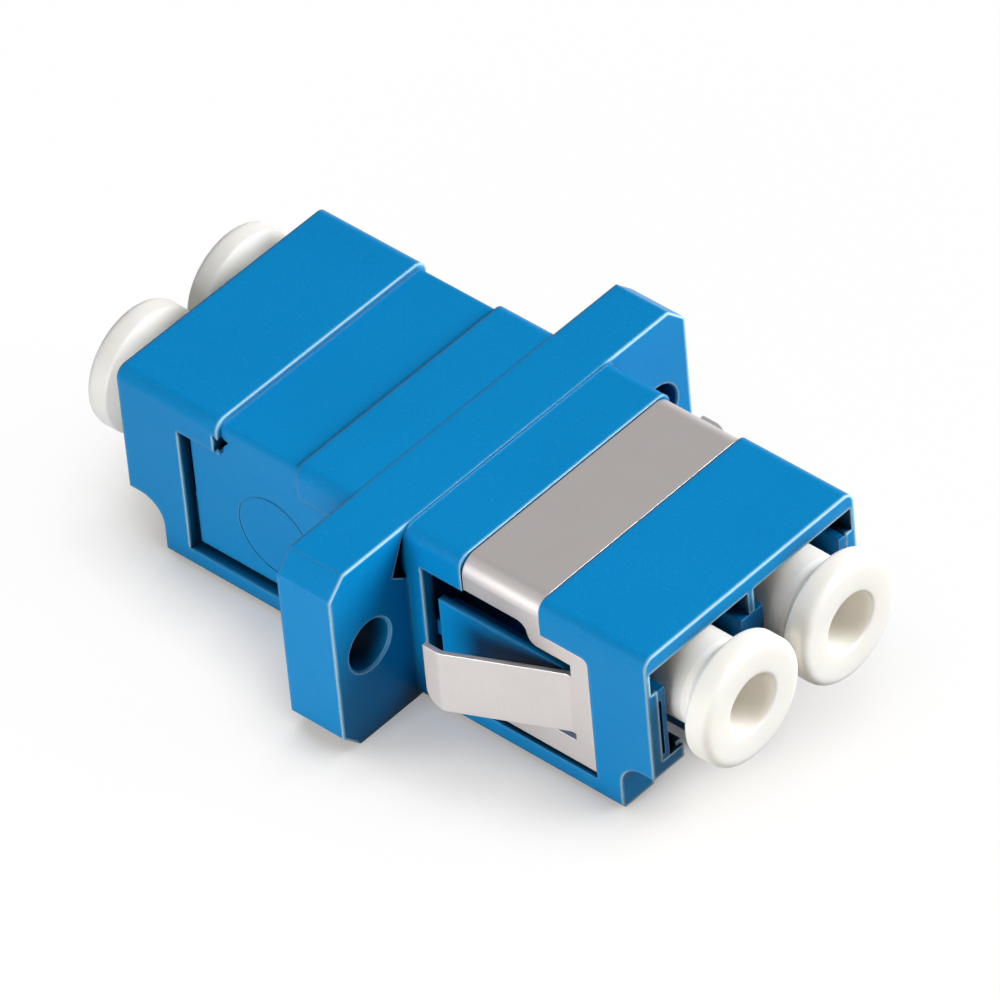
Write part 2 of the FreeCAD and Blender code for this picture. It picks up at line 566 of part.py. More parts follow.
def add_tongue(body):
    """Tongue lanced from the front post: flares outwards, its tip turned back in."""
    plan = new_sketch(body, "XY_Plane", "TonguePlan", "tongue_low")
    root, bend = "(post_start + leg_post / 2)", "(post_start - clip_sheet)"
    face, inner = "clip_face", "(clip_face - clip_sheet)"
    crest = "(tongue_tip + tongue_curl)"
    draw_outline(plan, [
        (root, "-" + inner), (root, "-" + face), (bend, "-" + face, "clip_sheet * 2"),
        (crest, "-(%s + tongue_flare)" % face, "clip_sheet * 3"),
        ("tongue_tip", "-(%s + tongue_flare)" % face),
        ("tongue_tip", "-(%s + tongue_flare)" % inner),
        (crest, "-(%s + tongue_flare)" % inner, "clip_sheet * 2"),
        (bend, "-" + inner, "clip_sheet")])
    tongue = add_feature(body, "Pad", plan, "Tongue", "tongue_width")
    corner = new_sketch(body, "XZ_Plane", "TongueCornerSketch", "clip_face + tongue_flare + 1")
    draw_outline(corner, [
        ("tongue_tip", "tongue_low + tongue_round"), ("tongue_tip", "tongue_low", "tongue_round - 0.05"),
        ("tongue_tip + tongue_round", "tongue_low"), ("tongue_tip + tongue_round", "tongue_low - 1"),
        ("tongue_tip - 1", "tongue_low - 1"), ("tongue_tip - 1", "tongue_low + tongue_round")])
    return [tongue, add_feature(body, "Pocket", corner, "TongueCorner", "tongue_flare + 1")]


# ---------------------------------------------------------------- dust caps

def make_cap(label, turned, sign):
    """Soft moulded cap about its own X axis: hollow plug, neck, groove and pull disc."""
    body = new_body(label)
    profile = new_sketch(body, "XY_Plane", label + "_Profile")
    back, disc_back = "(mouth - cap_insert)", "(mouth + cap_disc_start)"
    front, neck = "(mouth + cap_reach)", "(mouth + cap_neck_end)"
    web = front + " - cap_bore_depth"
    groove, groove_end = neck + " + cap_bevel", neck + " + cap_bevel + cap_groove_width"
    draw_outline(profile, [
        (back, "cap_back_bore / 2"), (web + " - cap_web", "cap_back_bore / 2"), (web + " - cap_web", "0"),
        (web, "0"), (web, "cap_bore / 2"), (front + " - cap_bevel", "cap_bore / 2"),
        (front, "cap_bore / 2 + cap_bevel"), (front, "cap_disc / 2 - cap_edge"),
        (front + " - 0.3 * cap_edge", "cap_disc / 2 - 0.3 * cap_edge"), (front + " - cap_edge", "cap_disc / 2"),
        (disc_back, "cap_disc / 2"), (groove_end, "cap_groove / 2"), (groove, "cap_groove / 2"),
        (neck, "cap_neck / 2"), (back + " + cap_bevel", "cap_neck / 2"), (back, "cap_neck / 2 - cap_bevel")])
    turn = body.newObject("PartDesign::Revolution", label + "_Turned")
    turn.Profile = profile
    turn.ReferenceAxis = (profile, ["H_Axis"])
    turn.Angle = 360
    profile.Visibility = False
    DOC.recompute()

    rib = new_sketch(body, "YZ_Plane", label + "_RibSketch", back + " + cap_rib_inset")
    reach = "(port_width / 2 - cap_fit)"
    draw_box(rib, "cap_neck / 2 - 0.2", reach, "-cap_rib / 2", "cap_rib / 2")
    first = add_feature(body, "Pad", rib, label + "_Rib", "cap_rib_length")
    ribs = body.newObject("PartDesign::PolarPattern", label + "_Ribs")
    ribs.Originals = [first]
    ribs.Axis = (next(f for f in body.Origin.OriginFeatures if f.Role == "X_Axis"), [""])
    ribs.Angle = 360
    ribs.Occurrences = 4
    body.Tip = ribs
    if turned:
        body.Placement.Rotation = FreeCAD.Rotation(FreeCAD.Vector(0, 0, 1), 180)
    bind(body, Placement__Base__y=sign + "port_pitch / 2", Placement__Base__z="axis_height")
    return body


# ---------------------------------------------------------------- document and files

def check_document():
    """Stop if any object failed to compute or any sub-part has no valid solid."""
    for thing in DOC.Objects:
        if "Invalid" in thing.State or "Error" in thing.State:
            raise RuntimeError("%s did not compute" % thing.Name)
    for thing in DOC.Objects:
        if thing.isDerivedFrom("PartDesign::Body") and (thing.Shape.isNull() or not thing.Shape.isValid()):
            raise RuntimeError("%s has no valid shape" % thing.Label)


def main():
    fill_sheet()
    parts = [
        make_housing(),
        make_inner_frame("front_inner_frame", False),
        make_inner_frame("rear_inner_frame", True),
        make_sleeve("left_sleeve", ""),
        make_sleeve("right_sleeve", "-"),
        make_clip(),
        make_cap("front_left_cap", False, ""),
        make_cap("front_right_cap", False, "-"),
        make_cap("rear_left_cap", True, ""),
        make_cap("rear_right_cap", True, "-"),
    ]
    DOC.recompute()
    check_document()
    os.makedirs("parts", exist_ok=True)
    for part in parts:
        part.Shape.exportStep("parts/%s.step" % part.Label)
        box = part.Shape.BoundBox
        print("%-18s %d solid, %8.2f mm3, x %.2f..%.2f y %.2f..%.2f z %.2f..%.2f" % (
            part.Label, len(part.Shape.Solids), part.Shape.Volume,
            box.XMin, box.XMax, box.YMin, box.YMax, box.ZMin, box.ZMax))


main()
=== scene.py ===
"""Duplex LC fibre coupler, dressed: housing, inner frames, sleeves, panel clip and dust caps.

The housing, inner frames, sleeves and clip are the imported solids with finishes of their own. The
dust caps are turned again as smooth surfaces. Sizes are in millimetres and become metres as a mesh
is made. +X leaves the front ports, +Y runs across the two ports and +Z is up.
"""

import logging
import math
from collections.abc import Mapping, Sequence
from dataclasses import dataclass, field
from enum import Enum

import bpy
import numpy as np
from mathutils import Matrix, Vector


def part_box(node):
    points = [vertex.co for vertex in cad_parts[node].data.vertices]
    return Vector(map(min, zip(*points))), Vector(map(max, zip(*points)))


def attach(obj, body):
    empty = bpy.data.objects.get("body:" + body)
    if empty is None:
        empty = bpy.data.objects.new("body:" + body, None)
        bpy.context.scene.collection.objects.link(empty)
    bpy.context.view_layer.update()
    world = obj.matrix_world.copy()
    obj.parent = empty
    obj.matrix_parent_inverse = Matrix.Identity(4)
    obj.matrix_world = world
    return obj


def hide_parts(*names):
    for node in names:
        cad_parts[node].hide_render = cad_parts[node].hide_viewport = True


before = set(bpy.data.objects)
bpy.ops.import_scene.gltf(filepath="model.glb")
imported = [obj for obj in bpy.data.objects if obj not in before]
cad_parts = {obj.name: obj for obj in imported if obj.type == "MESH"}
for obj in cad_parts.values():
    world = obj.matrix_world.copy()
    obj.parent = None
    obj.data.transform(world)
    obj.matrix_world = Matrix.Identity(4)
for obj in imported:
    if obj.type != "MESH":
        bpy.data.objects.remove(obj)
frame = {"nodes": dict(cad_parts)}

LOG = logging.getLogger("fibre_coupler")
MM = 0.001
MICROMETRE = 1e-6
WHITE = (1.0, 1.0, 1.0, 1.0)

# Display colours to linear light: a straight toe, then a power curve lifted off it.
TOE_END = 0.04045
TOE_SLOPE = 12.92
CURVE_LIFT = 0.055
CURVE_POWER = 2.4

# Limits of the rounding and refining of an outline.
MOST_OF_A_SIDE = 0.48
SHARPEST_HALF_ANGLE = 0.05
SAME_POINT = 1e-4
TOO_NEAR_A_CORNER = 0.4

Tone = tuple[float, float, float, float]
Point = tuple[float, float, float]


def tone(red: int, green: int, blue: int) -> Tone:
    """Turn a display colour into the linear one that a shader takes.

    Args:
        red: Red from 0 to 255.
        green: Green from 0 to 255.
        blue: Blue from 0 to 255.

    Returns:
        Linear red, green, blue and an alpha of one.
    """
    share = np.array([red, green, blue]) / 255.0
    curve = ((share + CURVE_LIFT) / (1.0 + CURVE_LIFT)) ** CURVE_POWER
    linear = np.where(share <= TOE_END, share / TOE_SLOPE, curve)
    return (float(linear[0]), float(linear[1]), float(linear[2]), 1.0)


def heading(azimuth: float, elevation: float) -> Vector:
    """Unit vector at two angles.

    Args:
        azimuth: Degrees from +X towards +Y.
        elevation: Degrees above the floor.

    Returns:
        The vector.
    """
    turn, rise = math.radians(azimuth), math.radians(elevation)
    level = math.cos(rise)
    return Vector((level * math.cos(turn), level * math.sin(turn), math.sin(rise)))


# ---------------------------------------------------------------- shader building


class Wire:
    """An output socket that takes part in sums: each operator adds one Math node."""

    def __init__(self, weave: "Weave", socket: bpy.types.NodeSocket) -> None:
        """Keep the socket and the builder of its tree."""
        self.weave = weave
        self.socket = socket

    def _math(self, operation: str, *values: "Wire | float") -> "Wire":
        """Add a Math node of one operation and return its result."""
        return self.weave.node("ShaderNodeMath", {"operation": operation}, dict(enumerate(values)))

    def __add__(self, other: "Wire | float") -> "Wire":
        """Sum."""
        return self._math("ADD", self, other)

    __radd__ = __add__

    def __mul__(self, other: "Wire | float") -> "Wire":
        """Product."""
        return self._math("MULTIPLY", self, other)

    __rmul__ = __mul__

    def __sub__(self, other: "Wire | float") -> "Wire":
        """Difference."""
        return self._math("SUBTRACT", self, other)

    def __rsub__(self, other: "Wire | float") -> "Wire":
        """Difference from a number, such as 1 - mask."""
        return self._math("SUBTRACT", other, self)

    def peak(self, other: "Wire | float") -> "Wire":
        """The larger of the two."""
        return self._math("MAXIMUM", self, other)

    def swing(self, width: float) -> "Wire":
        """How far a pattern is from its middle, with width as its whole span."""
        return (self - 0.5) * width

    def ramp(self, low: float, high: float) -> "Wire":
        """Rise smoothly from nought at low to one at high.

        Args:
            low: Value at which the result leaves nought.
            high: Value at which the result reaches one.

        Returns:
            The smoothed share between the two.
        """
        settings = {"interpolation_type": "SMOOTHSTEP"}
        inputs = {"Value": self, "From Min": low, "From Max": high}
        return self.weave.node("ShaderNodeMapRange", settings, inputs)


class Weave:
    """Builds the node tree of one material or of the world."""

    probes: int = 8
    rim_from: float = 0.01
    rim_full: float = 0.09
    corner_reach: float = 1.5
    corner_from: float = 0.05
    corner_full: float = 0.3

    def __init__(self, tree: bpy.types.NodeTree) -> None:
        """Empty the tree and keep it."""
        tree.nodes.clear()
        self.tree = tree

    def node(
        self,
        kind: str,
        settings: Mapping[str, object] | None = None,
        inputs: Mapping[str | int, object] | None = None,
        output: str | int = 0,
    ) -> Wire:
        """Add a node: its settings first, then the values or links of its sockets.

        Args:
            kind: The node's type name.
            settings: Attributes such as an operation or a blend type.
            inputs: Socket name or number to a value or a Wire.
            output: Name or number of the output to return.

        Returns:
            The chosen output, ready for sums, or the first input of a node that has no output.
        """
        made = self.tree.nodes.new(kind)
        for key, value in (settings or {}).items():
            setattr(made, key, value)
        for key, value in (inputs or {}).items():
            if isinstance(value, Wire):
                self.tree.links.new(value.socket, made.inputs[key])
            else:
                made.inputs[key].default_value = value
        return Wire(self, made.outputs[output] if len(made.outputs) else made.inputs[0])

    def place(self, stretch: Sequence[float] = (1, 1, 1)) -> Wire:
        """Object coordinates, stretched, which patterns read.

        Args:
            stretch: Scale along each axis; under one makes a pattern longer there.

        Returns:
            The vector.
        """
        spot = self.node("ShaderNodeTexCoord", output="Object")
        return self.node("ShaderNodeMapping", {}, {"Vector": spot, "Scale": stretch})

    def cloud(self, spot: Wire, size: float, detail: float = 2.0, rough: float = 0.5) -> Wire:
        """Soft noise whose patches are about size millimetres wide.

        Args:
            spot: Coordinates to read.
            size: Width of a patch in millimetres.
            detail: Number of finer layers.
            rough: Strength of the finer layers.

        Returns:
            A value between nought and one.
        """
        inputs = {"Vector": spot, "Scale": 1.0 / (size * MM), "Detail": detail, "Roughness": rough}
        return self.node("ShaderNodeTexNoise", {}, inputs, "Fac")

    def blend(self, share: Wire | float, first: Wire | Tone, second: Wire | Tone) -> Wire:
        """Mix two colours.

        Args:
            share: How much of the second.
            first: Colour at nought.
            second: Colour at one.

        Returns:
            The mixed colour.
        """
        inputs = {0: share, 6: first, 7: second}
        return self.node("ShaderNodeMix", {"data_type": "RGBA", "blend_type": "MIX"}, inputs, 2)

    def along(self, vector: Wire, axis: str) -> Wire:
        """One axis of a vector, named X, Y or Z."""
        return self.node("ShaderNodeSeparateXYZ", {}, {0: vector}, axis)

    def rounded(self, radius: float) -> Wire:
        """Normals turned over within radius millimetres of an edge, as on a moulded part."""
        return self.node("ShaderNodeBevel", {"samples": self.probes}, {"Radius": radius * MM})

    def edge(self, bent: Wire, radius: float) -> Wire:
        """Towards one on an outward edge, from rounded normals; nought on flats and in corners.

        Args:
            bent: Normals rounded over radius.
            radius: Rounding in millimetres; a wall about as near as this makes a corner.

        Returns:
            The mask.
        """
        flat = self.node("ShaderNodeNewGeometry", output="Normal")
        settings = {"operation": "DOT_PRODUCT"}
        level = self.node("ShaderNodeVectorMath", settings, {0: bent, 1: flat}, "Value")
        corner = self.crevice(radius * self.corner_reach)
        inward = corner.ramp(self.corner_from, self.corner_full)
        return (1.0 - level).ramp(self.rim_from, self.rim_full) * (1.0 - inward)

    def crevice(self, reach: float) -> Wire:
        """Nought in the open, towards one where walls within reach millimetres close round it."""
        settings = {"samples": self.probes}
        clear = self.node("ShaderNodeAmbientOcclusion", settings, {"Distance": reach * MM}, "AO")
        return 1.0 - clear

    def bump(self, height: Wire, depth: float, normal: Wire) -> Wire:
        """Relief on top of a normal.

        Args:
            height: Relief between nought and one.
            depth: Micrometres for a height of one.
            normal: Normal underneath.

        Returns:
            The new normal.
        """
        distance = depth * MICROMETRE
        inputs = {"Strength": 1.0, "Distance": distance, "Height": height, "Normal": normal}
        return self.node("ShaderNodeBump", {}, inputs)


# ---------------------------------------------------------------- finishes


@dataclass(frozen=True)
class Pattern:
    """Soft noise of one scale: its patch width in millimetres, its finer layers and its stretch.

    As a mask it leaves nought at low, is full at high, and counts for share.
    """

    size: float
    detail: float = 3.0
    rough: float = 0.5
    low: float = 0.3
    high: float = 0.75
    share: float = 0.5
    stretch: Point = (1.0, 1.0, 1.0)

    def noise(self, weave: Weave) -> Wire:
        """The bare pattern, between nought and one."""
        return weave.cloud(weave.place(self.stretch), self.size, self.detail, self.rough)

    def mask(self, noise: Wire) -> Wire:
        """The share of a second colour that the bare pattern gives."""
        return noise.ramp(self.low, self.high) * self.share


@dataclass(frozen=True)
class Finish:
    """What every finish has: a name, a colour and the rounding of its edges."""

    name: str
    colour: Tone
    edge_radius: float

    def material(self) -> bpy.types.Material:
        """Make the finish's material once and give it back each time."""
        found = bpy.data.materials.get(self.name)
        if found:
            return found
        made = bpy.data.materials.new(self.name)
        made.use_nodes = True
        weave = Weave(made.node_tree)
        weave.node("ShaderNodeOutputMaterial", {}, {"Surface": self.shade(weave)})
        return made

    def shade(self, weave: Weave) -> Wire:
        """Build the shader; each kind of finish has its own."""
        raise NotImplementedError


@dataclass(frozen=True)
class MouldedPlastic(Finish):
    """Hard moulded plastic: even colour, spark-eroded grain, painted edge highlights, painted
    shade in hollows, slight sink.
    """

    deep: Tone
    # Light tone of the grain's specks, and of the painted highlight along edges.
    grain_and_highlight_tone: Tone
    # Painted shade: a dark tone blended into hollows and recesses, where shade would fall.
    hollow_shade_tone: Tone
    index: float = 1.5
    specular: float = 0.14
    gloss: float = 0.36
    drift: Pattern = Pattern(7.0)
    grain: Pattern = Pattern(0.09, rough=0.6, low=0.55, high=0.9, share=0.12)
    grain_gloss: float = 0.05
    grain_depth: float = 1.6
    smear: Pattern = Pattern(1.4, detail=4.0, rough=0.65, stretch=(0.35, 1.0, 1.0))
    smear_gloss: float = 0.16
    sink: Pattern = Pattern(3.2, detail=1.0)
    sink_depth: float = 9.0
    # Occlusion reach in millimetres, then the ramp and the strength of the painted shade in
    # hollows.
    hollow: float = 3.0
    hollow_shade_from: float = 0.25
    hollow_shade_full: float = 0.75
    hollow_shade_share: float = 0.95
    # Painted highlight: strongest on edges turned towards +X and the key lamp, weaker on every
    # other edge.
    front_from: float = 0.2
    front_full: float = 0.6
    front_edge_highlight: float = 0.82
    every_edge_highlight: float = 0.08
    coat_gloss: float = 0.16

    def shade(self, weave: Weave) -> Wire:
        """Colour drifts between two tones, with painted shade darkening it in hollows; grain and
        sink bend the light.

        Edges get a painted highlight in their colour and a glossier coat, most of all those that
        face +X, towards the key lamp.
        """
        drift, speck = self.drift.noise(weave), self.grain.noise(weave)
        smear, sink = self.smear.noise(weave), self.sink.noise(weave)
        bent = weave.rounded(self.edge_radius)
        rim = weave.edge(bent, self.edge_radius)
        # Edges turned towards +X, where the key lamp would catch them.
        front = weave.along(bent, "X").ramp(self.front_from, self.front_full)
        # Painted highlight along edges; the same mask also lays a glossier coat on them.
        painted_highlight_and_coat = rim * (front * self.front_edge_highlight + self.every_edge_highlight)
        # Painted shade: the share of the dark tone rises where walls close round a point.
        hollow = weave.crevice(self.hollow).ramp(self.hollow_shade_from, self.hollow_shade_full)
        body = weave.blend(self.drift.mask(drift), self.colour, self.deep)
        body = weave.blend(self.grain.mask(speck), body, self.grain_and_highlight_tone)
        # Painted highlight laid into the colour along edges.
        body = weave.blend(painted_highlight_and_coat, body, self.grain_and_highlight_tone)
        body = weave.blend(hollow * self.hollow_shade_share, body, self.hollow_shade_tone)
        waves = weave.bump(sink, self.sink_depth, bent)
        gloss = self.gloss + smear.swing(self.smear_gloss) + speck * self.grain_gloss
        return weave.node(
            "ShaderNodeBsdfPrincipled",
            {},
            {
                "Base Color": body,
                "Roughness": gloss,
                "Normal": weave.bump(speck, self.grain_depth, waves),
                "IOR": self.index,
                "Specular IOR Level": self.specular,
                "Coat Weight": painted_highlight_and_coat,
                "Coat Roughness": self.coat_gloss,
            },
        )


@dataclass(frozen=True)
class SpringSteel(Finish):
    """Cold-rolled spring steel: rolling lines along the strip, edges lightened as bright sheared
    metal and as a painted highlight.
    """

    # Darker tone of the rolling lines and of random patches.
    line_and_patch_tone: Tone
    sheared_edge_and_highlight_tone: Tone
    metal: float = 0.72
    gloss: float = 0.4
    line: Pattern = Pattern(
        0.035, detail=4.0, rough=0.7, low=0.2, high=0.8, share=0.16, stretch=(1.0, 0.02, 0.02)
    )
    line_gloss: float = 0.14
    line_depth: float = 0.2
    patch: Pattern = Pattern(2.6, low=0.35, high=0.7, share=0.18)
    patch_gloss: float = 0.1
    edge_share: float = 0.8

    def shade(self, weave: Weave) -> Wire:
        """Lines run round the strip, so they are long in Y and Z and narrow in X."""
        lines, patch = self.line.noise(weave), self.patch.noise(weave)
        bent = weave.rounded(self.edge_radius)
        rim = weave.edge(bent, self.edge_radius)
        body = weave.blend(self.line.mask(lines), self.colour, self.line_and_patch_tone)
        body = weave.blend(self.patch.mask(patch), body, self.line_and_patch_tone)
        # Lighter edges: partly bright sheared metal, partly a painted highlight.
        body = weave.blend(rim * self.edge_share, body, self.sheared_edge_and_highlight_tone)
        gloss = self.gloss + lines.swing(self.line_gloss) + patch.swing(self.patch_gloss)
        return weave.node(
            "ShaderNodeBsdfPrincipled",
            {},
            {
                "Base Color": body,
                "Metallic": self.metal,
                "Roughness": gloss,
                "Normal": weave.bump(lines, self.line_depth, bent),
            },
        )


@dataclass(frozen=True)
class SoftPlastic(Finish):
    """Soft milky plastic: light goes a little way in, the skin is satin and faintly uneven."""

    warm: Tone
    index: float = 1.45
    specular: float = 0.4
    gloss: float = 0.42
    patch: Pattern = Pattern(2.4, high=0.8, share=0.4)
    pore: Pattern = Pattern(0.16, rough=0.55)
    pore_gloss: float = 0.12
    pore_depth: float = 1.2
    wave: Pattern = Pattern(1.9, detail=1.0)
    wave_depth: float = 8.0
    milk: float = 0.5
    milk_depth: float = 1.2
    milk_reach: Point = (1.0, 0.84, 0.62)

    def shade(self, weave: Weave) -> Wire:
        """Warm patches in a milky body, with a satin skin over shallow moulding waves."""
        patch, pores = self.patch.mask(self.patch.noise(weave)), self.pore.noise(weave)
        bent = weave.rounded(self.edge_radius)
        waves = weave.bump(self.wave.noise(weave), self.wave_depth, bent)
        return weave.node(
            "ShaderNodeBsdfPrincipled",
            {"subsurface_method": "RANDOM_WALK"},
            {
                "Base Color": weave.blend(patch, self.colour, self.warm),
                "Roughness": self.gloss + pores.swing(self.pore_gloss),
                "Normal": weave.bump(pores, self.pore_depth, waves),
                "IOR": self.index,
                "Specular IOR Level": self.specular,
                "Subsurface Weight": self.milk,
                "Subsurface Radius": self.milk_reach,
                "Subsurface Scale": self.milk_depth * MM,
            },
        )


@dataclass(frozen=True)
class Zirconia(Finish):
    """Ground and polished zirconia: ivory white, glossy, with fine grinding rings."""

    warm: Tone
    index: float = 2.1
    gloss: float = 0.16
    ring: Pattern = Pattern(0.03, rough=0.6, stretch=(1.0, 0.05, 0.05))
    ring_gloss: float = 0.1
    ring_depth: float = 0.4
    patch: Pattern = Pattern(0.9, high=0.7)

    def shade(self, weave: Weave) -> Wire:
        """Grinding rings lie across the tube, so they are narrow in X."""
        rings, patch = self.ring.noise(weave), self.patch.mask(self.patch.noise(weave))
        bent = weave.rounded(self.edge_radius)
        return weave.node(
            "ShaderNodeBsdfPrincipled",
            {},
            {
                "Base Color": weave.blend(patch, self.colour, self.warm),
                "Roughness": self.gloss + rings * self.ring_gloss,
                "Normal": weave.bump(rings, self.ring_depth, bent),
                "IOR": self.index,
            },
        )


class Look(Enum):
    """The finishes of this coupler."""

    HOUSING = MouldedPlastic(
        "coupler_blue_plastic",
        tone(0, 133, 197),
        0.28,
        deep=tone(0, 127, 191),
        # Speck tone, also the tone of the painted edge highlight.
        grain_and_highlight_tone=tone(188, 238, 252),
        # Dark tone of the painted shade in hollows.
        hollow_shade_tone=tone(0, 12, 36),
    )
    INNER_FRAME = MouldedPlastic(
        "inner_frame_blue_plastic",
        tone(0, 116, 182),
        0.07,
        deep=tone(0, 104, 170),
        # Speck tone, also the tone of the painted edge highlight.
        grain_and_highlight_tone=tone(80, 176, 226),
        # Painted shade in hollows: its dark tone, then its share.
        hollow_shade_tone=tone(0, 10, 32),
        hollow_shade_share=0.45,
    )
    CLIP = SpringSteel(
        "rolled_spring_steel",
        tone(218, 212, 210),
        0.05,
        line_and_patch_tone=tone(192, 185, 182),
        # Edge tone: bright sheared metal and painted highlight.
        sheared_edge_and_highlight_tone=tone(248, 246, 246),
    )
    CAP = SoftPlastic("milky_cap_plastic", tone(254, 249, 241), 0.03, warm=tone(251, 243, 231))
    SLEEVE = Zirconia("polished_zirconia", tone(240, 236, 226), 0.03, warm=tone(228, 220, 204))


def dress(body: bpy.types.Object, look: Look) -> None:
    """Give a piece one finish all over.

    Args:
        body: The piece.
        look: Its finish.
    """
    body.data.materials.clear()
    body.data.materials.append(look.value.material())


# ---------------------------------------------------------------- surfaces


def softened(corners: np.ndarray, radii: np.ndarray, steps: int) -> np.ndarray:
    """Round the corners of an open outline.

    A corner P with neighbours A and B gives the quadratic curve from P + t(A - P)/|A - P| to
    P + t(B - P)/|B - P| with P as its control point, where t is the radius times the cotangent of
    half the corner's angle, and never over 0.48 of a side.

    Args:
        corners: Outline corners, shape (n, 2).
        radii: Rounding radius of each corner, shape (n,); the ends are nought.
        steps: Points on each curve.

    Returns:
        The rounded outline, shape (m, 2), with no point twice.
    """
    inner = corners[1:-1]
    back, ahead = corners[:-2] - inner, corners[2:] - inner
    back_length = np.linalg.norm(back, axis=1, keepdims=True)
    ahead_length = np.linalg.norm(ahead, axis=1, keepdims=True)
    back, ahead = back / back_length, ahead / ahead_length
    half = np.arccos(np.clip((back * ahead).sum(1), -1.0, 1.0)) / 2.0
    reach = radii[1:-1] / np.tan(np.maximum(half, SHARPEST_HALF_ANGLE))
    side = np.minimum(back_length, ahead_length)[:, 0]
    reach = np.minimum(reach, MOST_OF_A_SIDE * side)[:, None, None]
    share = np.linspace(0.0, 1.0, steps)[None, :, None]
    middle, start, end = inner[:, None], back[:, None] * reach, ahead[:, None] * reach
    curves = middle + (1.0 - share) ** 2 * start + share**2 * end
    points = np.concatenate([corners[:1], curves.reshape(-1, 2), corners[-1:]])
    apart = np.linalg.norm(np.diff(points, axis=0), axis=1) > SAME_POINT
    return points[np.concatenate([[True], apart])]


def refined(outline: np.ndarray, spacing: float) -> np.ndarray:
    """Add points along an outline wherever two of its points are further apart than spacing.

    The length along the outline is s; the new points lie at every multiple of spacing along s and
    at each old point, and multiples that fall close to an old point are left out.

    Args:
        outline: Points, shape (n, 2).
        spacing: Largest distance wanted.

    Returns:
        The finer outline.
    """
    sides = np.linalg.norm(np.diff(outline, axis=0), axis=1)
    length = np.concatenate([[0.0], np.cumsum(sides)])
    even = np.arange(spacing, length[-1], spacing)
    near = np.abs(even[:, None] - length[None, :]).min(axis=1) < spacing * TOO_NEAR_A_CORNER
    every = np.sort(np.concatenate([length, even[~near]]))
    return np.stack([np.interp(every, length, outline[:, axis]) for axis in (0, 1)], axis=1)


def skin(
    name: str, points: np.ndarray, quads: np.ndarray, fans: Sequence[np.ndarray]
) -> bpy.types.Object:
    """Put a grid of quads and its closing fans into a smooth-shaded object.

    Args:
        name: Name of the piece.
        points: Vertices in millimetres, shape (n, 3).
        quads: Corners of the four-sided faces, shape (m, 4).
        fans: Triangles that close the poles, each of shape (k, 3).

    Returns:
        The object, linked to the scene, at the origin.
    """
    triangles = np.concatenate(fans)
    corners = np.concatenate([quads.reshape(-1), triangles.reshape(-1)]).astype(np.int32)
    totals = np.repeat([4, 3], [len(quads), len(triangles)])
    starts = np.concatenate([[0], np.cumsum(totals)[:-1]]).astype(np.int32)
    mesh = bpy.data.meshes.new(name)
    mesh.vertices.add(len(points))
    mesh.vertices.foreach_set("co", (points * MM).astype(np.float32).reshape(-1))
    mesh.loops.add(len(corners))
    mesh.loops.foreach_set("vertex_index", corners)
    mesh.polygons.add(len(totals))
    mesh.polygons.foreach_set("loop_start", starts)
    mesh.polygons.foreach_set("use_smooth", np.ones(len(totals), dtype=bool))
    mesh.update(calc_edges=True)
    mesh.validate()
    made = bpy.data.objects.new(name, mesh)
    bpy.context.scene.collection.objects.link(made)
    return made


# ---------------------------------------------------------------- coupler


@dataclass
class CouplerBody:
    """Housing, inner frames, sleeves and clip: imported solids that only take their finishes."""

    finishes: Mapping[str, Look] = field(
        default_factory=lambda: {
            "housing": Look.HOUSING,
            "front_inner_frame": Look.INNER_FRAME,
            "rear_inner_frame": Look.INNER_FRAME,
            "left_sleeve": Look.SLEEVE,
            "right_sleeve": Look.SLEEVE,
            "panel_clip": Look.CLIP,
        }
    )

    def build(self, nodes: Mapping[str, bpy.types.Object]) -> list[str]:
        """Dress each node.

        Args:
            nodes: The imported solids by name.

        Returns:
            The names dressed.
        """
        for name, look in self.finishes.items():
            dress(nodes[name], look)
        return list(self.finishes)


